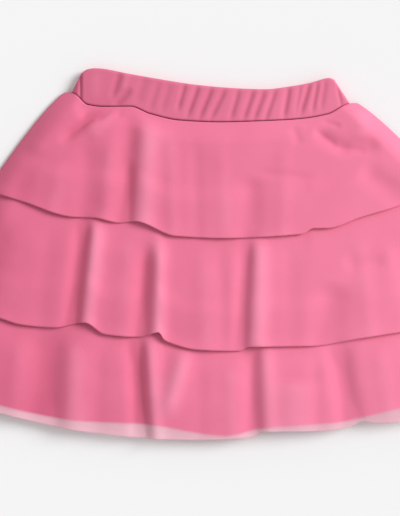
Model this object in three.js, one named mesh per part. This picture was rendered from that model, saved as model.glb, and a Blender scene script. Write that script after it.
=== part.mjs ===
// A child's pull-on skort with three flounces, laid flat on its back.
// Millimetres. +X runs across the garment, +Y towards the waistband, +Z up out of the surface.
import * as THREE from 'three';

// Cloth, and how the layers lie on each other
const WALL = 1.0;
const GAP = 0.3;
const STEP = WALL + GAP;
const BAND_WALL = 3.0;
const BAND_LIFT = BAND_WALL + 0.4;
const SHINGLE = 12;
const RISE_OVER_HEAD = { clear: 15, run: 16 };
const FALL_PAST_HEM = { clear: 6, run: 10 };
const TUCK = 3;

// Roundness of the side edges, and how far each layer's sides lie inside the flounces
const FLOUNCE_EDGE = 22;
const BASE_EDGE = 14;

// Layers counted in steps from the surface, where all of them lie on each other
const LAYER = { baseBack: 1, shortsBack: 2, shortsFront: 3, baseFront: 4, flounceFront: 5 };
const WAIST_SQUEEZE = { start: 128, end: 92 };

// Columns of the seam between the waistband and the top flounce, which has one more at each end
const SEAM = { left: -110.5, pitch: 5.85, columns: 38 };

// Waistband: the folded top of the casing, and the seam that joins it to the skirt
const BAND_TOP = [
  { x: -103, y: 144.6 },
  { x: -98, y: 148.0 },
  { x: -92, y: 148.8 },
  { x: -64, y: 144.2 },
  { x: -40, y: 140.0 },
  { x: -8, y: 135.2 },
  { x: 24, y: 132.6 },
  { x: 44, y: 132.0 },
  { x: 64, y: 134.2 },
  { x: 80, y: 137.0 },
  { x: 96, y: 141.0 },
  { x: 99.5, y: 139.6 },
];
const WAIST_SEAM = [
  { x: -118, y: 129.8 },
  { x: -110.5, y: 129.6 },
  { x: -98, y: 119.6 },
  { x: -85, y: 118.0 },
  { x: -64, y: 118.2 },
  { x: -48, y: 112.2 },
  { x: -24, y: 107.0 },
  { x: 8, y: 105.6 },
  { x: 44, y: 106.6 },
  { x: 72, y: 108.2 },
  { x: 94, y: 112.0 },
  { x: 111.8, y: 120.8 },
  { x: 119, y: 121.4 },
];
const BAND_RIPPLE = { wave: 10.5, lean: 0.32, rise: 1.0 };

// Hems, from the left side seam to the right one
const TOP_HEM = [
  { x: -180, y: 51.0 },
  { x: -150, y: 42.0 },
  { x: -110, y: 29.6 },
  { x: -92, y: 28.8 },
  { x: -72, y: 24.8 },
  { x: -60, y: 26.0 },
  { x: -28, y: 14.4 },
  { x: 10, y: 12.6 },
  { x: 74, y: 16.0 },
  { x: 82, y: 20.4 },
  { x: 94, y: 20.6 },
  { x: 120, y: 29.2 },
  { x: 152, y: 39.2 },
  { x: 186, y: 58.0 },
];
const MIDDLE_HEM = [
  { x: -212, y: -37.0 },
  { x: -168, y: -51.2 },
  { x: -150, y: -56.6 },
  { x: -124, y: -58.8 },
  { x: -100, y: -54.8 },
  { x: -84, y: -64.2 },
  { x: -56, y: -66.4 },
  { x: -41, y: -62.4 },
  { x: -36, y: -69.2 },
  { x: -8, y: -76.6 },
  { x: 24, y: -77.6 },
  { x: 31, y: -74.2 },
  { x: 82, y: -73.6 },
  { x: 120, y: -67.4 },
  { x: 216, y: -53.0 },
];
const BOTTOM_HEM = [
  { x: -240, y: -105.0 },
  { x: -168, y: -127.2 },
  { x: -104, y: -141.6 },
  { x: -40, y: -148.0 },
  { x: -8, y: -148.8 },
  { x: 33, y: -146.8 },
  { x: 43, y: -142.2 },
  { x: 88, y: -141.6 },
  { x: 112, y: -138.4 },
  { x: 121, y: -134.2 },
  { x: 136, y: -135.2 },
  { x: 240, y: -113.0 },
];
const BASE_HEM = [
  { x: -229, y: -96.0 },
  { x: -168, y: -121.2 },
  { x: -104, y: -133.6 },
  { x: -52, y: -136.4 },
  { x: 12, y: -145.4 },
  { x: 44, y: -139.2 },
  { x: 104, y: -134.6 },
  { x: 122, y: -130.6 },
  { x: 229, y: -104.0 },
];

// Folds: a line from its start to its end, the half width, and the rise, below zero for a valley
const TOP_FOLDS = [
  { x0: -61, y0: 108, x1: -66, y1: 24, width: 9, rise: -5.0, end: 'hem' },
  { x0: -46, y0: 108, x1: -45, y1: 20, width: 12, rise: 2.4, end: 'hem' },
  { x0: -82, y0: 120, x1: -120, y1: 87, width: 6, rise: -2.6, end: 'fades' },
  { x0: -97, y0: 95, x1: -99, y1: 28, width: 9, rise: -2.0, end: 'hem' },
  { x0: 34, y0: 66, x1: 32, y1: 12, width: 9, rise: -2.2, end: 'hem' },
  { x0: 82, y0: 99, x1: 112, y1: 80, width: 6, rise: -2.0, end: 'fades' },
  { x0: 100, y0: 84, x1: 138, y1: 86, width: 6, rise: -1.8, end: 'fades' },
  { x0: 120, y0: 119, x1: 122, y1: 88, width: 9, rise: 1.4, end: 'fades' },
  { x0: -140, y0: 90, x1: -156, y1: 44, width: 10, rise: -1.8, end: 'hem' },
  { x0: 118, y0: 70, x1: 158, y1: 42, width: 9, rise: -2.2, end: 'hem' },
];
const MIDDLE_FOLDS = [
  { x0: -94, y0: 42, x1: -107, y1: -59, width: 9, rise: -6.0, end: 'hem' },
  { x0: -87, y0: 34, x1: -90, y1: -60, width: 9, rise: 2.4, end: 'hem' },
  { x0: -46, y0: 6, x1: -51, y1: -66, width: 9, rise: -4.4, end: 'hem' },
  { x0: -36, y0: 20, x1: -35, y1: -69, width: 9, rise: 2.0, end: 'hem' },
  { x0: 34, y0: 26, x1: 27, y1: -76, width: 7, rise: -3.4, end: 'hem' },
  { x0: 46, y0: 20, x1: 47, y1: -74, width: 12, rise: 1.6, end: 'hem' },
  { x0: 100, y0: -20, x1: 93, y1: -73, width: 13, rise: -3.0, end: 'hem' },
  { x0: 104, y0: -9, x1: 144, y1: -5, width: 7, rise: -1.2, end: 'fades' },
  { x0: -166, y0: 34, x1: -186, y1: -44, width: 11, rise: -3.0, end: 'hem' },
  { x0: 152, y0: 20, x1: 174, y1: -58, width: 11, rise: -3.4, end: 'hem' },
];
const BOTTOM_FOLDS = [
  { x0: -128, y0: -52, x1: -133, y1: -137, width: 14, rise: -4.0, end: 'hem' },
  { x0: -109, y0: -60, x1: -111, y1: -141, width: 11, rise: 2.0, end: 'hem' },
  { x0: -57, y0: -60, x1: -50, y1: -147, width: 9, rise: -6.0, end: 'hem' },
  { x0: -17, y0: -68, x1: -38, y1: -137, width: 9, rise: 3.0, end: 'fades' },
  { x0: 36, y0: -66, x1: 39, y1: -145, width: 9, rise: -3.6, end: 'hem' },
  { x0: 66, y0: -96, x1: 67, y1: -141, width: 16, rise: 2.0, end: 'hem' },
  { x0: 99, y0: -62, x1: 113, y1: -137, width: 9, rise: -4.2, end: 'hem' },
  { x0: -188, y0: -44, x1: -208, y1: -117, width: 12, rise: -3.4, end: 'hem' },
  { x0: 164, y0: -50, x1: 184, y1: -126, width: 12, rise: -4.0, end: 'hem' },
];
const FOLD_FADE = 0.3;

// Shares of a flounce's length by which its folds run free and its puff is full
const FREED_BY = 0.25;
const PUFFED_BY = 0.45;
const SOFT_FLOOR = 1.2;
const HEM_DROP = { from: 0.6, share: 0.5 };

// The sides of a cut swell most above their middle
const BOW_SKEW = 0.6;

// Grid of each panel
const GRID = {
  bandBack: { columns: SEAM.columns, rows: 2 },
  bandFront: { columns: SEAM.columns * 2, rows: 2 },
  flounceFront: { columns: SEAM.columns + 2, rows: 7 },
  topBack: { columns: SEAM.columns + 2, rows: 5 },
  lowerBack: { columns: 20, rows: 7 },
  base: { columns: 18, rows: 9 },
  shorts: { columns: 5, rows: 7 },
};

// Inner shorts, by their half outline
const SHORTS = { waistHalf: 95, tuck: 7, crotchY: -46, hemY: -92, hemOut: 128, hemIn: 12, hip: 8 };

const CLOTH = {
  band: new THREE.MeshStandardMaterial({ color: 0xe0718f, roughness: 0.85, metalness: 0 }),
  flounce: new THREE.MeshStandardMaterial({ color: 0xe87598, roughness: 0.9, metalness: 0 }),
  base: new THREE.MeshStandardMaterial({ color: 0xe26a8e, roughness: 0.9, metalness: 0 }),
  shorts: new THREE.MeshStandardMaterial({ color: 0xde668b, roughness: 0.9, metalness: 0 }),
};

const mix = (a, b, share) => a + (b - a) * share;

function rampUp(value) {
  const t = Math.min(1, Math.max(0, value));
  return t * t * (3 - 2 * t);
}

// A line through its stations that never swings past them
function smoothLine(stations) {
  const last = stations.length - 1;
  const slope = (i) => (stations[i + 1].y - stations[i].y) / (stations[i + 1].x - stations[i].x);
  const tangent = (i) => {
    if (i === 0) return slope(0);
    if (i === last) return slope(last - 1);
    const before = slope(i - 1);
    const after = slope(i);
    return before * after <= 0 ? 0 : (2 * before * after) / (before + after);
  };
  return (x) => {
    let i = 0;
    while (i < last - 1 && x > stations[i + 1].x) i += 1;
    const span = stations[i + 1].x - stations[i].x;
    const t = Math.min(1, Math.max(0, (x - stations[i].x) / span));
    const rise = stations[i + 1].y - stations[i].y;
    const pullStart = tangent(i) * span - rise;
    const pullEnd = rise - tangent(i + 1) * span;
    return stations[i].y + rise * t + t * (1 - t) * (pullStart * (1 - t) + pullEnd * t);
  };
}

const waistSeam = smoothLine(WAIST_SEAM);
const bandTop = smoothLine(BAND_TOP);
const topHem = smoothLine(TOP_HEM);
const middleHem = smoothLine(MIDDLE_HEM);
const bottomHem = smoothLine(BOTTOM_HEM);
const baseHem = smoothLine(BASE_HEM);

// A flat cut of cloth between its head line and its hem, with straight or bowed sides
function cut(head, headSpan, hem, hemSpan, bow = 0) {
  return { head, headSpan, hem, hemSpan, bow };
}

const seamAt = (column) => SEAM.left + SEAM.pitch * column;

// The seam as both of its sides are cut: straight from one column to the next
function seamCut(x) {
  const place = (x - SEAM.left) / SEAM.pitch;
  const column = Math.floor(place);
  return mix(waistSeam(seamAt(column)), waistSeam(seamAt(column + 1)), place - column);
}

const CUTS = {
  band: cut(bandTop, [-103, 99.5], seamCut, [seamAt(0), seamAt(SEAM.columns)]),
  top: cut((x) => seamCut(x) - GAP, [seamAt(-1), seamAt(SEAM.columns + 1)], topHem, [-180, 186], 4),
  middle: cut((x) => topHem(x) + SHINGLE, [-167, 172], middleHem, [-212, 216], 2),
  bottom: cut((x) => middleHem(x) + SHINGLE, [-202, 206], bottomHem, [-240, 240], 2),
  base: cut((x) => seamCut(x) - TUCK, [-108, 110], baseHem, [-229, 229], 6),
};

function pointOn(piece, u, v) {
  const headX = mix(piece.headSpan[0], piece.headSpan[1], u);
  const hemX = mix(piece.hemSpan[0], piece.hemSpan[1], u);
  const side = 2 * u - 1;
  const bulge = piece.bow * Math.sin(Math.PI * v ** BOW_SKEW) * side ** 3;
  return { x: mix(headX, hemX, v) + bulge, y: mix(piece.head(headX), piece.hem(hemX), v) };
}

// How far a point lies inside the nearer side of a cut
function insetFromSide(piece, x, y) {
  const sideX = (end) => {
    const headY = piece.head(piece.headSpan[end]);
    const hemY = piece.hem(piece.hemSpan[end]);
    const v = Math.min(1, Math.max(0, (headY - y) / (headY - hemY)));
    const bulge = piece.bow * Math.sin(Math.PI * v ** BOW_SKEW) * (2 * end - 1);
    return mix(piece.headSpan[end], piece.hemSpan[end], v) + bulge;
  };
  return Math.min(x - sideX(0), sideX(1) - x);
}

function roundedEdge(inset, width) {
  const share = Math.min(1, Math.max(0, inset / width));
  return Math.sin((Math.PI / 2) * share);
}

// The layers are squeezed together at the waist seam and open out below it
function waistRamp(y) {
  return rampUp((WAIST_SQUEEZE.start - y) / (WAIST_SQUEEZE.start - WAIST_SQUEEZE.end));
}

function foldHeight(fold, x, y) {
  const runX = fold.x1 - fold.x0;
  const runY = fold.y1 - fold.y0;
  const length = Math.hypot(runX, runY);
  const along = ((x - fold.x0) * runX + (y - fold.y0) * runY) / (length * length);
  const across = Math.abs((x - fold.x0) * runY - (y - fold.y0) * runX) / length;
  const starts = rampUp(along / FOLD_FADE);
  const ends = fold.end === 'hem' ? 1 : rampUp((1 - along) / FOLD_FADE);
  return fold.rise * starts * ends * Math.exp(-((across / fold.width) ** 2));
}

// The puffed cloth of one flounce with its folds, never below the layer it lies on
function relief(flounce, x, y) {
  const { piece, folds, puff } = flounce;
  const headY = piece.head(x);
  const down = (headY - y) / (headY - piece.hem(x));
  const folded = folds.reduce((sum, fold) => sum + foldHeight(fold, x, y), 0);
  const freed = rampUp(down / FREED_BY);
  const settled = HEM_DROP.share * rampUp((down - HEM_DROP.from) / (1 - HEM_DROP.from));
  const height = puff * rampUp(down / PUFFED_BY) * (1 - settled) + folded * freed;
  return (height + Math.hypot(height, SOFT_FLOOR * freed)) / 2;
}

const FLOUNCES = [
  { name: 'top', piece: CUTS.top, folds: TOP_FOLDS, puff: 4.0 },
  { name: 'middle', piece: CUTS.middle, folds: MIDDLE_FOLDS, puff: 4.5 },
  { name: 'bottom', piece: CUTS.bottom, folds: BOTTOM_FOLDS, puff: 4.5 },
];

// Underside of a front flounce: over the base, and over the head of the flounce below
function frontFlounceLow(level, x, y) {
  const flounce = FLOUNCES[level];
  const below = FLOUNCES[level + 1];
  let full = STEP * (LAYER.flounceFront + waistRamp(y)) + relief(flounce, x, y);
  if (below) {
    const { clear, run } = RISE_OVER_HEAD;
    const cover = rampUp((below.piece.head(x) + clear + run - y) / run);
    full += cover * (STEP + relief(below, x, y));
  }
  const edge = roundedEdge(insetFromSide(flounce.piece, x, y), FLOUNCE_EDGE);
  return mix(backFlounceLow(level, x, y) + STEP, full, edge);
}

// Underside of a back flounce: flat on the surface, its head raised on the hem above
function backFlounceLow(level, x, y) {
  if (level === 0) return 0;
  const { clear, run } = FALL_PAST_HEM;
  const hemAbove = FLOUNCES[level - 1].piece.hem(x);
  return STEP * rampUp((y - hemAbove + clear + run) / run);
}

function baseLow(side, x, y) {
  const flat = STEP * (LAYER.baseBack + waistRamp(y));
  if (side === 'back') return flat;
  const edge = roundedEdge(insetFromSide(CUTS.base, x, y), BASE_EDGE);
  return mix(flat + STEP, STEP * (LAYER.baseFront + waistRamp(y)), edge);
}

// A closed wall of cloth over a grid: columns across, rows from the head to the hem
function clothWall(name, material, { columns, rows }, at) {
  const positions = [];
  const triangles = [];
  const layerSize = (columns + 1) * (rows + 1);
  const top = (i, j) => j * (columns + 1) + i;
  const under = (i, j) => layerSize + top(i, j);
  const lows = [];
  for (let j = 0; j <= rows; j += 1) {
    for (let i = 0; i <= columns; i += 1) {
      const { x, y, low, high } = at(i / columns, j / rows);
      positions.push(x, y, high);
      lows.push(x, y, low);
    }
  }
  positions.push(...lows);
  for (let j = 0; j < rows; j += 1) {
    for (let i = 0; i < columns; i += 1) {
      triangles.push(top(i, j), top(i, j + 1), top(i + 1, j));
      triangles.push(top(i + 1, j), top(i, j + 1), top(i + 1, j + 1));
      triangles.push(under(i, j), under(i + 1, j), under(i, j + 1));
      triangles.push(under(i + 1, j), under(i + 1, j + 1), under(i, j + 1));
    }
  }
  const rim = [];
  for (let j = 0; j < rows; j += 1) rim.push([0, j]);
  for (let i = 0; i < columns; i += 1) rim.push([i, rows]);
  for (let j = rows; j > 0; j -= 1) rim.push([columns, j]);
  for (let i = columns; i > 0; i -= 1) rim.push([i, 0]);
  rim.forEach((corner, index) => {
    const next = rim[(index + 1) % rim.length];
    triangles.push(under(...corner), under(...next), top(...next));
    triangles.push(under(...corner), top(...next), top(...corner));
  });
  const geometry = new THREE.BufferGeometry();
  geometry.setAttribute('position', new THREE.Float32BufferAttribute(positions, 3));
  geometry.setIndex(triangles);
  geometry.computeVertexNormals();
  const mesh = new THREE.Mesh(geometry, material);
  mesh.name = name;
  return mesh;
}

function panel(name, material, piece, grid, lowAt, thickness = () => WALL) {
  return clothWall(name, material, grid, (u, v) => {
    const { x, y } = pointOn(piece, u, v);
    const low = lowAt(x, y);
    return { x, y, low, high: low + thickness(x, y) };
  });
}

// Gathers of the elastic, leaning to one side
function bandThickness(x, y) {
  const phase = (x - BAND_RIPPLE.lean * y) / BAND_RIPPLE.wave;
  return BAND_WALL + BAND_RIPPLE.rise * (0.5 + 0.5 * Math.cos(2 * Math.PI * phase));
}

function buildBand() {
  return [
    panel('waistband_back', CLOTH.band, CUTS.band, GRID.bandBack, () => 0, () => BAND_WALL),
    panel('waistband_front', CLOTH.band, CUTS.band, GRID.bandFront, () => BAND_LIFT, bandThickness),
  ];
}

function buildFlounces() {
  return FLOUNCES.flatMap(({ name, piece }, level) => {
    const backLow = (x, y) => backFlounceLow(level, x, y);
    const frontLow = (x, y) => frontFlounceLow(level, x, y);
    const backGrid = level === 0 ? GRID.topBack : GRID.lowerBack;
    return [
      panel(`tier_${name}_back`, CLOTH.flounce, piece, backGrid, backLow),
      panel(`tier_${name}_front`, CLOTH.flounce, piece, GRID.flounceFront, frontLow),
    ];
  });
}

function buildBase() {
  return ['back', 'front'].map((side) =>
    panel(`base_${side}`, CLOTH.base, CUTS.base, GRID.base, (x, y) => baseLow(side, x, y)));
}

// One leg's half of the shorts, from the centre seam to the side
function shortsPoint(side, u, v) {
  const waistX = mix(GAP / 2, SHORTS.waistHalf, u);
  const y = mix(seamCut(side * waistX) - SHORTS.tuck, SHORTS.hemY, v);
  const crotchDrop = Math.max(0, (SHORTS.crotchY - y) / (SHORTS.crotchY - SHORTS.hemY));
  const inner = GAP / 2 + SHORTS.hemIn * crotchDrop;
  const outer = mix(SHORTS.waistHalf, SHORTS.hemOut, v) + SHORTS.hip * Math.sin(Math.PI * v);
  return { x: side * mix(inner, outer, u), y };
}

function buildShorts() {
  const halves = [
    { name: 'left', side: 1 },
    { name: 'right', side: -1 },
  ];
  const layers = [
    { name: 'back', layer: LAYER.shortsBack },
    { name: 'front', layer: LAYER.shortsFront },
  ];
  return layers.flatMap((layer) => halves.map((half) =>
    clothWall(`shorts_${layer.name}_${half.name}`, CLOTH.shorts, GRID.shorts, (u, v) => {
      const across = half.side > 0 ? u : 1 - u;
      const { x, y } = shortsPoint(half.side, across, v);
      const low = STEP * (layer.layer + waistRamp(y));
      return { x, y, low, high: low + WALL };
    })));
}

const skort = new THREE.Group();
skort.name = 'skort';
skort.add(...buildBand(), ...buildFlounces(), ...buildBase(), ...buildShorts());

export default skort;
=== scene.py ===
"""A child's pull-on skort with three flounces, laid flat on a pale surface.

Sizes in the tables are millimetres in the garment's own frame: +X across, +Y towards
the waistband, +Z up out of the surface.
"""

import logging
import math
from dataclasses import dataclass
from enum import Enum
from functools import partial
from typing import Callable, Dict, List, Optional, Sequence, Tuple

import bmesh
import bpy
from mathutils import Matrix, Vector

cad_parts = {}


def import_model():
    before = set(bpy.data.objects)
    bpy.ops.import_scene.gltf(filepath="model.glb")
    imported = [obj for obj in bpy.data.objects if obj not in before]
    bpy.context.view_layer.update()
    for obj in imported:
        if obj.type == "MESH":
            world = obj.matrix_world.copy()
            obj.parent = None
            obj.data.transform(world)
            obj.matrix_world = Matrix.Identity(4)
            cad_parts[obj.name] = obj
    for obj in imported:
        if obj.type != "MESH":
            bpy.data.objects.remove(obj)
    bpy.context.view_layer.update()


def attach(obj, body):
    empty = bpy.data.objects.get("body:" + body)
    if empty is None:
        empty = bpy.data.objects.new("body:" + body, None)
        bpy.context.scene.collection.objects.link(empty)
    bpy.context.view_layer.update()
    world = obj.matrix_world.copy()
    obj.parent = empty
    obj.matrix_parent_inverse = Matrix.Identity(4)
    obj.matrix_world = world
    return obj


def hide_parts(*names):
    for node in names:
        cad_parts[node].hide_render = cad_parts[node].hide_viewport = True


MM = 0.001
Line = Callable[[float], float]
Colour = Tuple[float, float, float, float]

log = logging.getLogger("skort")


# ---------------------------------------------------------------- small maths


def mix(start: float, end: float, share: float) -> float:
    """Return the value a share of the way from start to end."""
    return start + (end - start) * share


def clamp(value: float) -> float:
    """Return value held between 0 and 1."""
    return min(1.0, max(0.0, value))


def ramp_up(value: float) -> float:
    """Return an ease from 0 to 1 as value goes from 0 to 1."""
    t = clamp(value)
    return t * t * (3.0 - 2.0 * t)


class SmoothLine:
    """A line through stations (x, y) that never swings past them."""

    def __init__(self, stations: Sequence[Tuple[float, float]]) -> None:
        """Work out the tangents.

        Args:
            stations: points of the line, in order of x.
        """
        self.stations = list(stations)
        slopes = [
            (b[1] - a[1]) / (b[0] - a[0])
            for a, b in zip(self.stations, self.stations[1:])
        ]
        self.tangents = [slopes[0]]
        for before, after in zip(slopes, slopes[1:]):
            same_way = before * after > 0
            self.tangents.append(2 * before * after / (before + after) if same_way else 0.0)
        self.tangents.append(slopes[-1])

    def __call__(self, x: float) -> float:
        """Return y at x."""
        i = 0
        while i < len(self.stations) - 2 and x > self.stations[i + 1][0]:
            i += 1
        (x0, y0), (x1, y1) = self.stations[i], self.stations[i + 1]
        span, rise = x1 - x0, y1 - y0
        t = clamp((x - x0) / span)
        pull_start = self.tangents[i] * span - rise
        pull_end = rise - self.tangents[i + 1] * span
        return y0 + rise * t + t * (1 - t) * (pull_start * (1 - t) + pull_end * t)


# ---------------------------------------------------------------- sizes of the garment


@dataclass(frozen=True)
class Fold:
    """A soft trough or ridge along a line; rise is below zero for a trough.

    Attributes:
        start: where it begins, in millimetres.
        end: where it ends.
        width: half width across the line.
        rise: height at its strongest.
        to_hem: whether it runs out through the hem at full depth.
    """

    start: Tuple[float, float]
    end: Tuple[float, float]
    width: float
    rise: float
    to_hem: bool = False

    def height(self, x: float, y: float) -> float:
        """Return the height that the fold adds at a point.

        Args:
            x: place across the garment.
            y: place towards the waistband.

        Returns:
            The height in millimetres.
        """
        run_x, run_y = self.end[0] - self.start[0], self.end[1] - self.start[1]
        length = math.hypot(run_x, run_y)
        off_x, off_y = x - self.start[0], y - self.start[1]
        across = abs(off_x * run_y - off_y * run_x) / length
        if across > REACH * self.width:
            return 0.0
        along = (off_x * run_x + off_y * run_y) / (length * length)
        ends = 1.0 if self.to_hem else ramp_up((1 - along) / FOLD_FADE)
        bell = math.exp(-((across / self.width) ** 2))
        return self.rise * ramp_up(along / FOLD_FADE) * ends * bell


def folds(*rows: Tuple[float, float, float, float, float, float, bool]) -> List[Fold]:
    """Return folds from rows of start x, y, end x, y, width, rise and whether it meets the hem."""
    return [Fold((r[0], r[1]), (r[2], r[3]), r[4], r[5], r[6]) for r in rows]


# How many half widths a fold reaches to, and the share of its length over which it fades in
REACH = 3.0
FOLD_FADE = 0.3

# How the layers lie on each other. A pair is how far past a line a rise is clear of it, and
# the length over which it rises.
STEP = 1.3
BAND_WALL = 3.0
BAND_LIFT = 3.4
SHINGLE = 12.0
SHEET = 0.7
OVER_HEAD = (15.0, 16.0)
PAST_HEM = (6.0, 10.0)
FLOUNCE_EDGE = 22.0
BASE_EDGE = 14.0
WAIST_SQUEEZE = (128.0, 92.0)
SOFT_FLOOR = 1.2
HEM_DROP_FROM, HEM_DROP_SHARE = 0.6, 0.5
BOW_SKEW = 0.6
OFF_THE_SURFACE = 0.02
UNDERLAYER_LIFT = 0.1

# Painted shade from the folds, lighter on the swells and darker in the troughs: its level with no
# fold, and its gain a millimetre of fold on the flounces and on the waistband
PLAIN_PAINTED_SHADE = 0.7
FOLDED_PAINTED_SHADE = 0.6
FLOUNCE_PAINTED_SHADE_GAIN = 0.055
BAND_PAINTED_SHADE_GAIN = 0.16

# Where the flounce turns sheer: from this far inside the base's hem, over this length
SHEER_START, SHEER_RUN = 1.5, 3.0


class Layer(Enum):
    """Layers counted in steps up from the surface."""

    BASE_BACK = 1
    SHORTS_BACK = 2
    SHORTS_FRONT = 3
    BASE_FRONT = 4
    FLOUNCE_FRONT = 5


BAND_TOP = SmoothLine([
    (-103, 144.6), (-98, 148.0), (-92, 148.8), (-64, 144.2), (-40, 140.0), (-8, 135.2),
    (24, 132.6), (44, 132.0), (64, 134.2), (80, 137.0), (96, 141.0), (99.5, 139.6),
])
WAIST_SEAM = SmoothLine([
    (-118, 129.8), (-110.5, 129.6), (-98, 119.6), (-85, 118.0), (-64, 118.2), (-48, 112.2),
    (-24, 107.0), (8, 105.6), (44, 106.6), (72, 108.2), (94, 112.0), (111.8, 120.8), (119, 121.4),
])
TOP_HEM = SmoothLine([
    (-180, 51.0), (-150, 42.0), (-110, 29.6), (-92, 28.8), (-72, 24.8), (-60, 26.0), (-28, 14.4),
    (10, 12.6), (74, 16.0), (82, 20.4), (94, 20.6), (120, 29.2), (152, 39.2), (186, 58.0),
])
MIDDLE_HEM = SmoothLine([
    (-212, -37.0), (-168, -51.2), (-150, -56.6), (-124, -58.8), (-100, -54.8), (-84, -64.2),
    (-56, -66.4), (-41, -62.4), (-36, -69.2), (-8, -76.6), (24, -77.6), (31, -74.2), (82, -73.6),
    (120, -67.4), (216, -53.0),
])
BOTTOM_HEM = SmoothLine([
    (-240, -105.0), (-168, -127.2), (-104, -141.6), (-40, -148.0), (-8, -148.8), (33, -146.8),
    (43, -142.2), (88, -141.6), (112, -138.4), (121, -134.2), (136, -135.2), (240, -113.0),
])
BASE_HEM = SmoothLine([
    (-229, -96.0), (-168, -121.2), (-104, -133.6), (-52, -136.4), (12, -145.4), (44, -139.2),
    (104, -134.6), (122, -130.6), (229, -104.0),
])

# Main folds, as they lie on the front
TOP_FOLDS = folds(
    (-62, 122, -69, 24, 8, -2.6, True),
    (-64, 78, -68, 18, 4, -2.4, True),
    (-50, 116, -54, 22, 10, 2.6, True),
    (-78, 126, -122, 87, 4.5, -3.6, False),
    (-74, 118, -100, 92, 8, 1.2, False),
    (-97, 95, -99, 28, 9, -2.0, True),
    (34, 66, 32, 12, 9, -2.2, True),
    (82, 99, 112, 80, 6, -2.0, False),
    (100, 84, 138, 86, 6, -1.8, False),
    (120, 119, 122, 88, 9, 1.4, False),
    (-140, 90, -156, 44, 10, -1.8, True),
    (118, 70, 158, 42, 9, -2.2, True),
)
MIDDLE_FOLDS = folds(
    (-99, 44, -112, -59, 6.0, -3.8, True),
    (-89, 46, -99, -60, 7.5, 2.9, True),
    (-50, 12, -55, -66, 7, -3.6, True),
    (-41, 24, -43, -69, 7, 3.2, True),
    (30, 30, 23, -76, 6, -2.6, True),
    (39, 26, 37, -74, 8, 2.6, True),
    (100, -20, 93, -73, 13, -3.0, True),
    (104, -9, 144, -5, 7, -1.2, False),
    (-166, 34, -186, -44, 11, -3.0, True),
    (152, 20, 174, -58, 11, -3.4, True),
)
BOTTOM_FOLDS = folds(
    (-128, -52, -133, -137, 14, -4.0, True),
    (-109, -60, -111, -141, 11, 2.0, True),
    (-61, -52, -55, -147, 7, -5.0, True),
    (-50, -52, -44, -147, 7, 2.6, True),
    (-17, -68, -38, -137, 8, 3.0, False),
    (33, -58, 35, -145, 7, -3.0, True),
    (42, -58, 46, -142, 8, 2.0, True),
    (66, -96, 67, -141, 16, 2.0, True),
    (99, -62, 113, -137, 9, -4.2, True),
    (-188, -44, -208, -117, 12, -3.4, True),
    (164, -50, 184, -126, 12, -4.0, True),
)

# Finer creases, which only the cloth's surface carries
TOP_CREASES = folds(
    (-80, 122, -108, 98, 2.2, -1.4, False),
    (-78, 116, -92, 106, 2.2, -1.0, False),
    (-92, 122, -108, 116, 2.2, -0.7, False),
    (-70, 117, -74, 108, 2.0, -0.5, False),
    (88, 107, 106, 101, 2.2, -0.9, False),
    (82, 100, 104, 84, 2.6, -0.9, False),
    (98, 85, 128, 82, 2.6, -0.8, False),
    (66, 104, 72, 86, 4.0, -0.8, False),
    (30, 66, 88, 60, 4.0, -0.7, False),
    (-32, 100, -30, 30, 6.0, 0.7, True),
    (-12, 100, -10, 18, 6.0, -0.7, True),
    (8, 98, 12, 16, 7.0, 0.6, True),
    (60, 96, 58, 18, 7.0, 0.6, True),
    (-78, 104, -84, 30, 6.0, 0.8, True),
    (-118, 80, -126, 36, 7.0, 0.7, True),
)
MIDDLE_CREASES = folds(
    (-96, 32, -106, -50, 3.0, -1.2, True),
    (-64, 24, -70, -66, 8.0, 0.7, True),
    (-6, 14, -4, -76, 8.0, 0.8, True),
    (8, 12, 12, -76, 6.0, -0.7, True),
    (32, 14, 28, -70, 2.6, -0.8, True),
    (64, 16, 66, -74, 8.0, -0.6, True),
    (-126, 30, -136, -58, 8.0, -0.7, True),
    (118, 20, 128, -66, 7.0, 0.7, True),
)
BOTTOM_CREASES = folds(
    (-56, -74, -51, -147, 2.8, -1.2, True),
    (-88, -70, -90, -143, 7.0, -0.7, True),
    (-8, -80, -8, -148, 7.0, -0.6, True),
    (16, -80, 18, -148, 7.0, 0.7, True),
    (84, -76, 86, -141, 6.0, -0.6, True),
    (-150, -60, -158, -131, 8.0, 0.8, True),
    (134, -66, 144, -133, 8.0, 0.8, True),
)

# Gathers of the waistband, most of them narrow troughs slanting across the casing, and the
# troughs that give dark lines beside its two side seams; each trough also darkens the painted
# shade
BAND_GATHERS = folds(
    (-91, 150, -93, 118, 5.0, 0.3, False),
    (-71, 150, -79, 122, 2.8, -1.0, False),
    (-62, 134, -78, 116, 3.0, -1.2, False),
    (-66, 148, -70, 128, 3.0, 0.4, False),
    (-50, 146, -60, 118, 4.0, -0.6, False),
    (-40, 142, -50, 110, 2.8, -0.5, False),
    (-31, 140, -40, 110, 3.0, -0.5, False),
    (-19, 140, -27, 112, 2.2, -1.1, False),
    (-8, 139, -20, 106, 2.4, -1.3, False),
    (3, 137, -11, 104, 2.4, -1.3, False),
    (14, 136, -2, 104, 2.4, -1.2, False),
    (24, 135, 15, 104, 2.4, -1.1, False),
    (36, 135, 25, 104, 2.4, -1.2, False),
    (45, 135, 33, 103, 2.4, -1.2, False),
    (54, 136, 42, 102, 2.2, -1.1, False),
    (64, 138, 58, 105, 2.4, -1.3, False),
    (73, 140, 68, 108, 1.8, -0.5, False),
    (81, 141, 71, 108, 2.2, -1.3, False),
    (87, 142, 81, 110, 2.0, -1.0, False),
    (93, 144, 88, 112, 2.4, -0.7, False),
    (-103.6, 152, -103.6, 116, 1.1, -1.5, False),
    (-106, 146, -112, 122, 3.2, -1.7, False),
    (101, 138, 106, 114, 1.5, -0.6, False),
)


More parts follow.
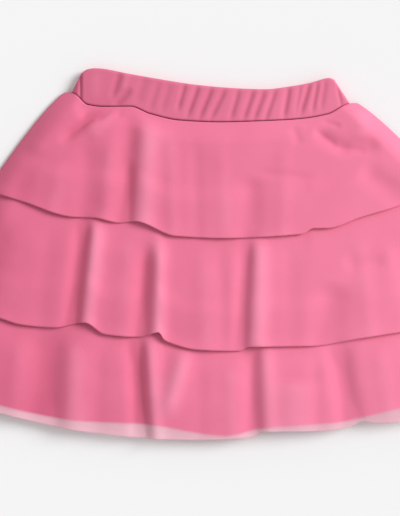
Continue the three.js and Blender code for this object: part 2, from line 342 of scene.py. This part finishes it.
@dataclass(frozen=True)
class Cut:
    """A panel between its head line and its hem, on ruled columns.

    Attributes:
        head: y of the head line at x.
        head_span: x of its two ends.
        hem: y of the hem at x.
        hem_span: x of its two ends.
        bow: how far the sides swell outwards.
    """

    head: Line
    head_span: Tuple[float, float]
    hem: Line
    hem_span: Tuple[float, float]
    bow: float = 0.0

    def point(self, u: float, v: float) -> Tuple[float, float]:
        """Return the point a share u across and a share v down the panel."""
        head_x, hem_x = mix(*self.head_span, u), mix(*self.hem_span, u)
        bulge = self.bow * math.sin(math.pi * v ** BOW_SKEW) * (2 * u - 1) ** 3
        return mix(head_x, hem_x, v) + bulge, mix(self.head(head_x), self.hem(hem_x), v)

    def side_x(self, end: int, y: float) -> float:
        """Return the x of one side line at y, where end is 0 on the left and 1 on the right."""
        head_y, hem_y = self.head(self.head_span[end]), self.hem(self.hem_span[end])
        v = clamp((head_y - y) / (head_y - hem_y))
        bulge = self.bow * math.sin(math.pi * v ** BOW_SKEW) * (2 * end - 1)
        return mix(self.head_span[end], self.hem_span[end], v) + bulge

    def inset(self, x: float, y: float) -> float:
        """Return how far a point lies inside the nearer side."""
        return min(x - self.side_x(0, y), self.side_x(1, y) - x)

    def down(self, x: float, y: float) -> float:
        """Return the share of the panel's length above a point."""
        head_y = self.head(x)
        return (head_y - y) / (head_y - self.hem(x))

    def flat_size(self, ease: float) -> Tuple[float, float]:
        """Return the flat width and height of the cut, in metres.

        Args:
            ease: assumed height of the cut over its mean height.

        Returns:
            The width at the hem, and the mean height times the ease.
        """
        width = (self.hem_span[1] - self.hem_span[0]) * MM
        return width, self.flat_area() / width * ease

    def flat_area(self, steps: int = 40) -> float:
        """Return the area of the outline, in square metres."""
        area = 0.0
        for i in range(steps):
            corners = [self.point(i / steps, 0), self.point(i / steps, 1),
                       self.point((i + 1) / steps, 1), self.point((i + 1) / steps, 0)]
            for (x0, y0), (x1, y1) in zip(corners, corners[1:] + corners[:1]):
                area += (x0 * y1 - x1 * y0) / 2
        return abs(area) * MM * MM


SEAM_GAP = 0.3
TUCK = 3.0
FLOUNCE_EASE, BASE_EASE = 1.25, 1.3
BAND_CUT = Cut(BAND_TOP, (-103, 99.5), WAIST_SEAM, (-110.5, 111.8))
TOP_CUT = Cut(lambda x: WAIST_SEAM(x) - SEAM_GAP, (-116.35, 117.65), TOP_HEM, (-180, 186), bow=4)
MIDDLE_CUT = Cut(lambda x: TOP_HEM(x) + SHINGLE, (-167, 172), MIDDLE_HEM, (-212, 216), bow=2)
BOTTOM_CUT = Cut(lambda x: MIDDLE_HEM(x) + SHINGLE, (-202, 206), BOTTOM_HEM, (-240, 240), bow=2)
BASE_CUT = Cut(lambda x: WAIST_SEAM(x) - TUCK, (-108, 110), BASE_HEM, (-229, 229), bow=6)


def waist_ramp(y: float) -> float:
    """Return 0 at the waist seam, where the layers are squeezed, and 1 where they lie free."""
    start, end = WAIST_SQUEEZE
    return ramp_up((start - y) / (start - end))


def rounded_edge(inset: float, width: float) -> float:
    """Return 0 on a side line and 1 from width inside it, round in between."""
    return math.sin(math.pi / 2 * clamp(inset / width))


# ---------------------------------------------------------------- materials


class Sock:
    """A node socket that adds Math nodes when values are worked out with it."""

    def __init__(self, tree: bpy.types.NodeTree, socket: bpy.types.NodeSocket) -> None:
        """Wrap an output socket of a tree."""
        self.tree = tree
        self.socket = socket

    def _math(self, operation: str, *values: object) -> "Sock":
        """Return the output of a Math node fed by values or sockets."""
        node = self.tree.nodes.new("ShaderNodeMath")
        node.operation = operation
        for slot, value in zip(node.inputs, values):
            if isinstance(value, Sock):
                self.tree.links.new(value.socket, slot)
            else:
                slot.default_value = value
        return Sock(self.tree, node.outputs[0])

    def __add__(self, other: object) -> "Sock":
        """Return the sum."""
        return self._math("ADD", self, other)

    def __mul__(self, other: object) -> "Sock":
        """Return the product."""
        return self._math("MULTIPLY", self, other)

    def __sub__(self, other: object) -> "Sock":
        """Return this less the other."""
        return self._math("SUBTRACT", self, other)

    def __rsub__(self, other: object) -> "Sock":
        """Return the other less this."""
        return self._math("SUBTRACT", other, self)

    def sine(self) -> "Sock":
        """Return the sine of the value."""
        return self._math("SINE", self)

    def limited(self) -> "Sock":
        """Return the value held between 0 and 1."""
        return self._math("MAXIMUM", self._math("MINIMUM", self, 1.0), 0.0)


class Shader:
    """A material under construction."""

    def __init__(self, name: str) -> None:
        """Start a node material with its Principled shader and output."""
        self.material = bpy.data.materials.new(name)
        self.material.use_nodes = True
        self.tree = self.material.node_tree
        self.tree.nodes.clear()
        self.principled = self.tree.nodes.new("ShaderNodeBsdfPrincipled")
        self.output = self.tree.nodes.new("ShaderNodeOutputMaterial")
        self.link(self.principled.outputs["BSDF"], self.output.inputs["Surface"])

    def link(self, source: object, target: bpy.types.NodeSocket) -> None:
        """Link a socket, wrapped or bare, into a target."""
        self.tree.links.new(source.socket if isinstance(source, Sock) else source, target)

    def node(
        self,
        kind: str,
        settings: Optional[Dict[str, object]] = None,
        inputs: Optional[Dict[str, object]] = None,
        output: object = 0,
    ) -> Sock:
        """Add a node.

        Args:
            kind: the node's type.
            settings: attributes set before its sockets.
            inputs: values or links by socket name or number.
            output: which output is returned.

        Returns:
            The wrapped output socket.
        """
        node = self.tree.nodes.new(kind)
        for key, value in (settings or {}).items():
            setattr(node, key, value)
        for key, value in (inputs or {}).items():
            if isinstance(value, Sock):
                self.link(value, node.inputs[key])
            else:
                node.inputs[key].default_value = value
        return Sock(self.tree, node.outputs[output])

    def blend(self, share: Sock, start: object, end: object) -> Sock:
        """Return a colour a share of the way from start to end."""
        return self.node(
            "ShaderNodeMix",
            {"data_type": "RGBA", "clamp_factor": True},
            {0: share, 6: start, 7: end},
            2,
        )


# Painted light: how much the painted shade brightens for each metre towards +X, the lamp's side
PAINTED_LIGHT_GAIN_X = 1.9

# The dye's mottling and the yarn's fuzz: scale of the noise and share of the shade
MOTTLE_SCALE, MOTTLE_SHARE = 28.0, 0.35
YARN_SCALE, YARN_SHARE = 900.0, 0.12

# Painted highlight, greyer, on the ridges: the shade from which it starts, how fast, how unevenly
# and how far at most
PAINTED_HIGHLIGHT_FROM, PAINTED_HIGHLIGHT_GAIN, PAINTED_HIGHLIGHT_MOTTLE, PAINTED_HIGHLIGHT_MOST = 0.62, 4, 0.5, 0.6

# The knit's loops: height of each part of the pattern, waviness of the courses, distance
# between wales over distance between courses, and depth of the bump in metres
COURSE_HEIGHT, WALE_HEIGHT, YARN_HEIGHT = 0.5, 0.35, 0.5
COURSE_WAVE, WALE_RATIO = 0.9, 0.8
KNIT_DEPTH = 0.0004

ROUGHNESS_MOTTLE = 0.1
SHEEN_ROUGHNESS = 0.45
SHEEN_TINT = (1.0, 0.62, 0.74, 1.0)
CLOTH_SPECULAR = 0.25


@dataclass(frozen=True)
class KnitWithPaintedShade:
    """A fine knit cloth, with painted shade in its folds and a painted highlight on its ridges.

    Attributes:
        name: name of the material.
        painted_lit: colour painted as if in full light, where the cloth swells.
        painted_highlight: painted highlight, a greyer colour along the ridges of the folds.
        painted_shade: colour painted as if in shade, down in the folds.
        pale: colour where one layer lies alone over a pale surface.
        loop: distance between the knit's loops, in metres.
        relief: strength of the knit's bump.
        sheen: weight of the soft sheen.
        roughness: roughness of the yarn.
        sheer_alpha: opacity of one face of the cloth where nothing backs it.
    """

    name: str
    painted_lit: Colour
    painted_highlight: Colour
    painted_shade: Colour
    pale: Colour
    loop: float
    relief: float
    sheen: float
    roughness: float
    sheer_alpha: float = 1.0

    def build(self) -> bpy.types.Material:
        """Return the material, with its knit, mottling, sheen, sheer edge, painted shade and
        painted highlight.
        """
        shader = Shader(self.name)
        place = shader.node("ShaderNodeTexCoord", output="Object")
        mottle = shader.node(
            "ShaderNodeTexNoise", None, {"Vector": place, "Scale": MOTTLE_SCALE, "Detail": 4.0}
        )
        yarn = shader.node(
            "ShaderNodeTexNoise", None, {"Vector": place, "Scale": YARN_SCALE, "Detail": 2.0}
        )
        split = place.tree.nodes.new("ShaderNodeSeparateXYZ")
        shader.link(place, split.inputs[0])
        across = Sock(place.tree, split.outputs[0])
        along = Sock(place.tree, split.outputs[1])
        pitch = 2 * math.pi / self.loop
        courses = (across * pitch + (along * (pitch / 2)).sine() * COURSE_WAVE).sine()
        wales = (along * (pitch * WALE_RATIO)).sine()
        knit = courses * COURSE_HEIGHT + wales * WALE_HEIGHT + yarn * YARN_HEIGHT
        fold = shader.node("ShaderNodeAttribute", {"attribute_name": "fold"}, output="Fac")
        uneven = (mottle - 0.5) * MOTTLE_SHARE
        # Painted shade and painted light: darker in the folds, brighter towards +X; the mottle and
        # the fuzz are the dye's own uneven tone
        shade = (fold + across * PAINTED_LIGHT_GAIN_X + uneven + (yarn - 0.5) * YARN_SHARE).limited()
        colour = shader.blend(shade, self.painted_shade, self.painted_lit)
        # Painted highlight: the ridges of the folds turn greyer
        ridge = (fold - PAINTED_HIGHLIGHT_FROM) * PAINTED_HIGHLIGHT_GAIN + (mottle - 0.5) * PAINTED_HIGHLIGHT_MOTTLE
        colour = shader.blend(ridge.limited() * PAINTED_HIGHLIGHT_MOST, colour, self.painted_highlight)
        sheer = shader.node("ShaderNodeAttribute", {"attribute_name": "sheer"}, output="Fac")
        colour = shader.blend(sheer, colour, self.pale)
        bump = shader.node(
            "ShaderNodeBump",
            None,
            {"Height": knit, "Strength": self.relief, "Distance": KNIT_DEPTH},
        )
        sockets = shader.principled.inputs
        shader.link(colour, sockets["Base Color"])
        shader.link(bump, sockets["Normal"])
        shader.link((mottle - 0.5) * ROUGHNESS_MOTTLE + self.roughness, sockets["Roughness"])
        if self.sheer_alpha < 1:
            shader.link(1 - sheer * (1 - self.sheer_alpha), sockets["Alpha"])
        sockets["Sheen Weight"].default_value = self.sheen
        sockets["Sheen Roughness"].default_value = SHEEN_ROUGHNESS
        sockets["Sheen Tint"].default_value = SHEEN_TINT
        sockets["Specular IOR Level"].default_value = CLOTH_SPECULAR
        return shader.material


FLOUNCE_KNIT = KnitWithPaintedShade(
    "flounce_mesh_knit",
    painted_lit=(0.97, 0.245, 0.395, 1),
    painted_highlight=(0.86, 0.34, 0.48, 1),
    painted_shade=(0.66, 0.115, 0.215, 1),
    pale=(1.0, 0.6, 0.7, 1),
    loop=0.00055,
    relief=0.12,
    sheen=0.12,
    roughness=0.8,
    sheer_alpha=0.55,
)
BAND_KNIT = KnitWithPaintedShade(
    "waistband_knit",
    painted_lit=(0.93, 0.235, 0.375, 1),
    painted_highlight=(0.9, 0.3, 0.44, 1),
    painted_shade=(0.52, 0.09, 0.17, 1),
    pale=(0.93, 0.235, 0.375, 1),
    loop=0.0005,
    relief=0.12,
    sheen=0.12,
    roughness=0.75,
)
BASE_KNIT = KnitWithPaintedShade(
    "base_plain_knit",
    painted_lit=(0.76, 0.14, 0.26, 1),
    painted_highlight=(0.76, 0.16, 0.28, 1),
    painted_shade=(0.6, 0.09, 0.19, 1),
    pale=(0.76, 0.14, 0.26, 1),
    loop=0.0005,
    relief=0.12,
    sheen=0.15,
    roughness=0.8,
)
SHORTS_KNIT = KnitWithPaintedShade(
    "shorts_stretch_knit",
    painted_lit=(0.72, 0.13, 0.25, 1),
    painted_highlight=(0.72, 0.15, 0.27, 1),
    painted_shade=(0.56, 0.08, 0.17, 1),
    pale=(0.72, 0.13, 0.25, 1),
    loop=0.0005,
    relief=0.12,
    sheen=0.15,
    roughness=0.78,
)


# ---------------------------------------------------------------- cloth


@dataclass
class Surface:
    """Where a point of cloth lies.

    Attributes:
        z: height of the cloth's middle, in millimetres.
        fold: painted shade, 1 painted light on a swell and 0 painted dark down in a fold.
        sheer: 1 where nothing backs the cloth.
    """

    z: float
    fold: float = PLAIN_PAINTED_SHADE
    sheer: float = 0.0


def sheerness(x: float, y: float) -> float:
    """Return 1 below the base's hem, where the flounce lies alone, and 0 over the base."""
    return ramp_up((BASE_HEM(x) - y + SHEER_START) / SHEER_RUN)


def lay_sheet(
    name: str,
    point: Callable[[float, float], Tuple[float, float]],
    grid: Tuple[int, int],
    surface: Callable[[float, float], Surface],
    thickness: float,
    material: bpy.types.Material,
) -> bpy.types.Object:
    """Build one panel of cloth.

    Args:
        name: name of the piece.
        point: place of a share across and a share down the panel.
        grid: columns and rows.
        surface: height, painted fold shade and sheerness at a place.
        thickness: thickness of the cloth, in millimetres.
        material: its finish.

    Returns:
        The new object, a closed thin shell.
    """
    columns, rows = grid
    mesh = bpy.data.meshes.new(name)
    bm = bmesh.new()
    bmesh.ops.create_grid(bm, x_segments=columns, y_segments=rows, size=0.5)
    # Painted shade of the folds, carried on the vertices for the material
    painted_shade_layer = bm.verts.layers.float.new("fold")
    sheer_layer = bm.verts.layers.float.new("sheer")
    for vert in bm.verts:
        x, y = point(clamp(vert.co.x + 0.5), clamp(0.5 - vert.co.y))
        at = surface(x, y)
        vert.co = Vector((x, y, at.z)) * MM
        vert[painted_shade_layer] = at.fold
        vert[sheer_layer] = at.sheer
    bm.normal_update()
    for face in bm.faces:
        face.smooth = True
    bm.to_mesh(mesh)
    bm.free()
    mesh.materials.append(material)
    piece = bpy.data.objects.new(name, mesh)
    bpy.context.scene.collection.objects.link(piece)
    shell = piece.modifiers.new("cloth", "SOLIDIFY")
    shell.thickness = thickness * MM
    shell.offset = 0.0
    shell.use_even_offset = False
    log.info("%s: %d by %d", name, columns, rows)
    return piece


def dress(piece: bpy.types.Object, node: str) -> None:
    """Let a piece stand for a CAD node and its body."""
    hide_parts(node)
    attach(piece, "root")


# Columns and rows of the cloth's grids
BACK_GRID = (100, 36)
FRONT_ROWS = 72
BASE_GRID = (110, 60)
LEG_GRID = (28, 48)
BAND_GRID = (300, 28)


@dataclass
class Flounce:
    """One flounce, its front and back.

    Attributes:
        name: top, middle or bottom.
        cut: its outline.
        main: its main folds.
        creases: its finer creases.
        puff: how far the cloth swells above what it lies on.
        freed_by: share of its length by which its folds run free.
        puffed_by: share of its length by which it is full.
        columns: columns of the front's grid.
        above: the flounce whose hem covers its head.
        below: the flounce whose head it covers.
    """

    name: str
    cut: Cut
    main: List[Fold]
    creases: List[Fold]
    puff: float
    freed_by: float = 0.25
    puffed_by: float = 0.45
    columns: int = 250
    above: Optional["Flounce"] = None
    below: Optional["Flounce"] = None

    def folded(self, x: float, y: float) -> float:
        """Return what the folds and creases add at a place."""
        freed = ramp_up(self.cut.down(x, y) / self.freed_by)
        return freed * sum(fold.height(x, y) for fold in self.main + self.creases)

    def relief(self, x: float, y: float) -> float:
        """Return the height of the puffed and folded cloth over its bed, never below zero."""
        down = self.cut.down(x, y)
        free = SOFT_FLOOR * ramp_up(down / self.freed_by)
        settled = HEM_DROP_SHARE * ramp_up((down - HEM_DROP_FROM) / (1 - HEM_DROP_FROM))
        height = self.puff * ramp_up(down / self.puffed_by) * (1 - settled) + self.folded(x, y)
        return (height + math.hypot(height, free)) / 2

    def back_low(self, x: float, y: float) -> float:
        """Return the underside of the back, raised at its head on the hem above."""
        if self.above is None:
            return 0.0
        clear, run = PAST_HEM
        return STEP * ramp_up((y - self.above.cut.hem(x) + clear + run) / run)

    def front(self, x: float, y: float) -> Surface:
        """Return the lie of the front at a place."""
        full = STEP * (Layer.FLOUNCE_FRONT.value + waist_ramp(y)) + self.relief(x, y)
        if self.below:
            clear, run = OVER_HEAD
            cover = ramp_up((self.below.cut.head(x) + clear + run - y) / run)
            full += cover * (STEP + self.below.relief(x, y))
        edge = rounded_edge(self.cut.inset(x, y), FLOUNCE_EDGE)
        z = mix(self.back_low(x, y) + STEP, full, edge) + STEP / 2
        # Painted shade: lighter on the swells, darker down in the folds
        painted_lit = clamp(FOLDED_PAINTED_SHADE + FLOUNCE_PAINTED_SHADE_GAIN * self.folded(x, y))
        return Surface(z, painted_lit, sheerness(x, y))

    def back(self, x: float, y: float) -> Surface:
        """Return the lie of the back at a place."""
        z = self.back_low(x, y) + SHEET / 2 + OFF_THE_SURFACE
        return Surface(z, sheer=sheerness(x, y))

    def build(self, material: bpy.types.Material) -> None:
        """Build the front and the back."""
        front_grid = (self.columns, FRONT_ROWS)
        sides = (("back", self.back, BACK_GRID), ("front", self.front, front_grid))
        for side, surface, grid in sides:
            node = f"tier_{self.name}_{side}"
            piece = lay_sheet(
                f"cloth_{node}", self.cut.point, grid, surface, SHEET, material
            )
            dress(piece, node)
            rests = ["base_front"] if side == "front" else []
            flat, area = self.cut.flat_size(FLOUNCE_EASE), self.cut.flat_area()


@dataclass(frozen=True)
class Leg:
    """The front or back panel of one leg of the shorts; lengths are millimetres.

    Attributes:
        side: 1 on the left leg and -1 on the right.
        gap: half the gap between the two legs.
        waist: half width at the waist.
        tuck: how far the head lies under the waist seam.
        crotch: y of the crotch.
        hem: y of the hem.
        hem_inner: how far the inner line leaves the middle at the hem.
        hem_outer: distance of the outer line from the middle at the hem.
        hip: how far the outer line swells.
    """

    side: int
    gap: float = 0.15
    waist: float = 95
    tuck: float = 7
    crotch: float = -46
    hem: float = -92
    hem_inner: float = 12
    hem_outer: float = 128
    hip: float = 8

    def point(self, u: float, v: float) -> Tuple[float, float]:
        """Return the place of a share across and a share down the panel."""
        across = u if self.side > 0 else 1 - u
        waist_x = mix(self.gap, self.waist, across)
        y = mix(WAIST_SEAM(self.side * waist_x) - self.tuck, self.hem, v)
        drop = max(0.0, (self.crotch - y) / (self.crotch - self.hem))
        inner = self.gap + self.hem_inner * drop
        outer = mix(self.waist, self.hem_outer, v) + self.hip * math.sin(math.pi * v)
        return self.side * mix(inner, outer, across), y


class Underlayers:
    """The base that carries the flounces, and the inner shorts."""

    def base(self, side: str, x: float, y: float) -> Surface:
        """Return the lie of the base's front or back at a place."""
        flat = STEP * (Layer.BASE_BACK.value + waist_ramp(y))
        if side == "front":
            edge = rounded_edge(BASE_CUT.inset(x, y), BASE_EDGE)
            flat = mix(flat + STEP, STEP * (Layer.BASE_FRONT.value + waist_ramp(y)), edge)
        return Surface(flat + SHEET / 2 + UNDERLAYER_LIFT)

    def leg(self, layer: Layer, y: float) -> Surface:
        """Return the lie of the shorts at a place, in the given layer."""
        return Surface(STEP * (layer.value + waist_ramp(y)) + SHEET / 2 + UNDERLAYER_LIFT)

    def build(self, base: bpy.types.Material, shorts: bpy.types.Material) -> None:
        """Build the base and the shorts."""
        flat, area = BASE_CUT.flat_size(BASE_EASE), BASE_CUT.flat_area()
        below = {"back": ["tier_top_back"], "front": ["shorts_front_left", "shorts_front_right"]}
        for side, rests in below.items():
            lie = partial(self.base, side)
            piece = lay_sheet(f"cloth_base_{side}", BASE_CUT.point, BASE_GRID, lie, SHEET, base)
            dress(piece, f"base_{side}")
        for side, layer in (("back", Layer.SHORTS_BACK), ("front", Layer.SHORTS_FRONT)):
            for leg, sign in (("left", 1), ("right", -1)):
                node = f"shorts_{side}_{leg}"
                piece = lay_sheet(
                    f"cloth_{node}",
                    Leg(sign).point,
                    LEG_GRID,
                    lambda x, y, layer=layer: self.leg(layer, y),
                    SHEET,
                    shorts,
                )
                dress(piece, node)
                rests = ["base_back"] if side == "back" else [f"shorts_back_{leg}"]


@dataclass
class Waistband:
    """The folded casing with its elastic, gathered.

    Attributes:
        roll: how far the folded edges round over, in millimetres.
        seam_roll: how far the sewn lower edge rounds under, in millimetres.
        edge_share: share of its thickness that is left at its edges.
        swell: how far the front bulges over the elastic, in millimetres.
        under_share: share of the gathers that shows on the back's outer face.
        blunt: how round the very edge starts, as a share of the roll.
    """

    roll: float = 2.2
    seam_roll: float = 1.1
    edge_share: float = 0.5
    swell: float = 1.1
    under_share: float = 0.15
    blunt: float = 0.02

    def casing(self, low: float, front: bool, x: float, y: float) -> Tuple[float, float]:
        """Return the underside and the top of the casing at a place.

        Args:
            low: height of its underside.
            front: whether the gathers show on its top face.
            x: place across.
            y: place towards the top edge.

        Returns:
            The two heights, in millimetres.
        """
        folded = min(BAND_TOP(x) - y, BAND_CUT.inset(x, y)) / self.roll
        sewn = (y - WAIST_SEAM(x)) / self.seam_roll
        roundness = math.sqrt(1 - (1 - clamp(min(folded, sewn) + self.blunt)) ** 2)
        gathers = sum(fold.height(x, y) for fold in BAND_GATHERS)
        middle = low + BAND_WALL / 2
        half = BAND_WALL / 2 * mix(self.edge_share, 1.0, roundness)
        if front:
            return middle - half, middle + half + (self.swell + gathers) * roundness
        return middle - half - self.under_share * gathers * roundness, middle + half

    def build(self, material: bpy.types.Material) -> None:
        """Build both halves of the band."""
        for side, low, front in (("back", 0.0, False), ("front", BAND_LIFT, True)):
            node = f"waistband_{side}"
            piece = self.half(f"cloth_{node}", low, front, material)
            dress(piece, node)

    def half(
        self, name: str, low: float, front: bool, material: bpy.types.Material
    ) -> bpy.types.Object:
        """Return one closed half of the band.

        Args:
            name: name of the piece.
            low: height of its underside.
            front: whether it is the front.
            material: its finish.

        Returns:
            The new object.
        """
        columns, rows = BAND_GRID
        bm = bmesh.new()
        bmesh.ops.create_grid(bm, x_segments=columns, y_segments=rows, size=0.5)
        bm.verts.layers.float.new("fold")
        bm.verts.layers.float.new("sheer")
        copy = bmesh.ops.duplicate(bm, geom=bm.verts[:] + bm.edges[:] + bm.faces[:])
        hidden = {item for item in copy["geom"] if isinstance(item, bmesh.types.BMVert)}
        under_faces = [item for item in copy["geom"] if isinstance(item, bmesh.types.BMFace)]
        painted_shade_layer = bm.verts.layers.float["fold"]
        for vert in bm.verts:
            x, y = BAND_CUT.point(clamp(vert.co.x + 0.5), clamp(0.5 - vert.co.y))
            lowest, highest = self.casing(low, front, x, y)
            gathers = sum(fold.height(x, y) for fold in BAND_GATHERS)
            # Painted shade: darker in the band's troughs, lighter on its ridges
            vert[painted_shade_layer] = clamp(FOLDED_PAINTED_SHADE + BAND_PAINTED_SHADE_GAIN * gathers)
            vert.co = Vector((x, y, lowest if vert in hidden else highest)) * MM
        bmesh.ops.reverse_faces(bm, faces=under_faces)
        rims = [edge for edge in bm.edges if edge.is_boundary]
        bmesh.ops.bridge_loops(bm, edges=rims)
        bmesh.ops.recalc_face_normals(bm, faces=bm.faces[:])
        for face in bm.faces:
            face.smooth = True
        mesh = bpy.data.meshes.new(name)
        bm.to_mesh(mesh)
        bm.free()
        mesh.materials.append(material)
        piece = bpy.data.objects.new(name, mesh)
        bpy.context.scene.collection.objects.link(piece)
        log.info("%s: %d faces", name, len(mesh.polygons))
        return piece


# ---------------------------------------------------------------- stage


@dataclass
class Studio:
    """The pale floor, the soft light and the camera above the garment.

    Attributes:
        centre: middle of the picture on the surface, in metres.
        width: width of the picture on the cloth, in metres.
        height: height of the camera, in metres.
        cloth_height: height of the cloth at which the picture has that width, in metres.
        floor_half: half width of the floor, in metres.
        floor_drop: how far the floor lies below the garment, in metres.
        floor_grey: grey of the floor.
        floor_roughness: roughness of the floor.
        sky_strength: strength of the even sky.
        lamp_place: where the lamp hangs, in metres.
        lamp_strength: strength of the lamp.
        lamp_spread: angle that the lamp fills, in degrees.
        sensor: width of the camera's sensor, in millimetres.
        far: distance that the camera sees, in metres.
    """

    centre: Tuple[float, float] = (-0.008, -0.0032)
    width: float = 0.320
    height: float = 1.8
    cloth_height: float = 0.008
    floor_half: float = 3.0
    floor_drop: float = 0.0003
    floor_grey: float = 0.93
    floor_roughness: float = 0.9
    sky_strength: float = 0.55
    lamp_place: Tuple[float, float, float] = (1.5, 0.6, 1.0)
    lamp_strength: float = 2.6
    lamp_spread: float = 30.0
    sensor: float = 36.0
    far: float = 20.0

    def floor(self) -> None:
        """Lay the floor."""
        bm = bmesh.new()
        bmesh.ops.create_grid(bm, x_segments=1, y_segments=1, size=self.floor_half)
        mesh = bpy.data.meshes.new("floor")
        bm.to_mesh(mesh)
        bm.free()
        shader = Shader("floor_paper")
        grey = self.floor_grey
        shader.principled.inputs["Base Color"].default_value = (grey, grey, grey, 1)
        shader.principled.inputs["Roughness"].default_value = self.floor_roughness
        shader.principled.inputs["Specular IOR Level"].default_value = 0.0
        mesh.materials.append(shader.material)
        floor = bpy.data.objects.new("floor", mesh)
        bpy.context.scene.collection.objects.link(floor)
        floor.location.z = -self.floor_drop

    def light(self) -> None:
        """Hang one broad lamp on the right, over an even grey sky."""
        world = bpy.data.worlds.new("sky")
        world.use_nodes = True
        background = world.node_tree.nodes["Background"]
        background.inputs["Color"].default_value = (1, 1, 1, 1)
        background.inputs["Strength"].default_value = self.sky_strength
        bpy.context.scene.world = world
        data = bpy.data.lights.new("window", "SUN")
        data.angle = math.radians(self.lamp_spread)
        data.energy = self.lamp_strength
        lamp = bpy.data.objects.new("window", data)
        lamp.location = self.lamp_place
        lamp.rotation_euler = (-lamp.location).to_track_quat("-Z", "Y").to_euler()
        bpy.context.scene.collection.objects.link(lamp)

    def camera(self) -> None:
        """Hang the camera straight above the garment."""
        data = bpy.data.cameras.new("camera")
        data.sensor_fit = "HORIZONTAL"
        data.sensor_width = self.sensor
        data.lens = data.sensor_width * (self.height - self.cloth_height) / self.width
        data.clip_end = self.far
        camera = bpy.data.objects.new("camera", data)
        camera.location = (*self.centre, self.height)
        bpy.context.scene.collection.objects.link(camera)
        bpy.context.scene.camera = camera

    def build(self) -> None:
        """Set up the whole stage."""
        self.camera()
        self.floor()
        self.light()
        bpy.context.scene.view_settings.view_transform = "Standard"


def main() -> None:
    """Build the skort and its stage."""
    logging.basicConfig(level=logging.INFO, format="%(name)s: %(message)s")
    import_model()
    Studio().build()
    flounce_knit, band_knit = FLOUNCE_KNIT.build(), BAND_KNIT.build()
    top = Flounce(
        "top", TOP_CUT, TOP_FOLDS, TOP_CREASES, puff=3.4, freed_by=0.08, puffed_by=0.2, columns=220
    )
    middle = Flounce(
        "middle", MIDDLE_CUT, MIDDLE_FOLDS, MIDDLE_CREASES, puff=4.2, above=top
    )
    bottom = Flounce(
        "bottom", BOTTOM_CUT, BOTTOM_FOLDS, BOTTOM_CREASES, puff=4.2, columns=270, above=middle
    )
    top.below, middle.below = middle, bottom
    for flounce in (top, middle, bottom):
        flounce.build(flounce_knit)
    Waistband().build(band_knit)
    Underlayers().build(BASE_KNIT.build(), SHORTS_KNIT.build())
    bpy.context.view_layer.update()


if __name__ == "__main__":
    main()
